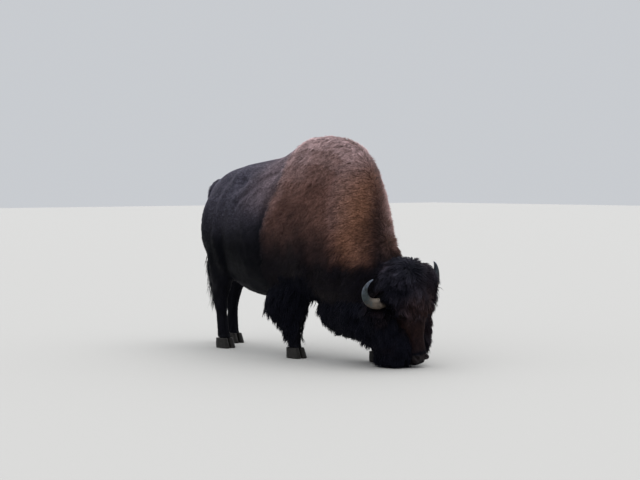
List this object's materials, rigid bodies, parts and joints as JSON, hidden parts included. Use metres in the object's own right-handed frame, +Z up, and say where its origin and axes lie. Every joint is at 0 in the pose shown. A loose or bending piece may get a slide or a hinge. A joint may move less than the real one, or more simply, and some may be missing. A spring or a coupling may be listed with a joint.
{
  "type": "american bison",
  "caption": "Life-size standing bull bison with lowered head, woolly cape, shaggy beard, curved horns and cloven hooves, a still museum-style figure.",
  "frame": {"origin": "middle of the animal's own box, on the floor under its hooves", "axes": "+X towards the head along the spine, +Y to the animal's left, +Z up"},
  "size_m": [2.647, 0.826, 1.7951],
  "materials": {
    "cape_wool": "dense woolly brown hair, lighter at the tips",
    "dark_wool": "long near-black brown hair",
    "short_coat": "short flat dark brown hair with a cool sheen",
    "muzzle_skin": "moist dark bare skin",
    "horn": "dark grey horn, paler and ridged at the root",
    "hoof": "dark worn hoof horn",
    "eye": "wet dark brown"
  },
  "bodies": {
    "root": {"barrel": "short_coat", "beard": "dark_wool", "chaps_left": "dark_wool", "chaps_right": "dark_wool", "cheek_mane_left": "dark_wool", "cheek_mane_right": "dark_wool", "claw_front_left_inner": "hoof", "claw_front_left_outer": "hoof", "claw_front_right_inner": "hoof", "claw_front_right_outer": "hoof", "claw_hind_left_inner": "hoof", "claw_hind_left_outer": "hoof", "claw_hind_right_inner": "hoof", "claw_hind_right_outer": "hoof", "ear_left": "dark_wool", "ear_right": "dark_wool", "eye_left": "eye", "eye_right": "eye", "forequarters": "cape_wool", "head": "dark_wool", "horn_left": "horn", "horn_right": "horn", "lower_leg_front_left": "short_coat", "lower_leg_front_right": "short_coat", "lower_leg_hind_left": "short_coat", "lower_leg_hind_right": "short_coat", "mop": "dark_wool", "muzzle": "muzzle_skin", "neck": "cape_wool", "rump": "short_coat", "tail": "short_coat", "tail_tuft": "dark_wool", "throat_mane": "dark_wool", "upper_leg_front_left": "dark_wool", "upper_leg_front_right": "dark_wool", "upper_leg_hind_left": "short_coat", "upper_leg_hind_right": "short_coat"}
  },
  "joints": []
}
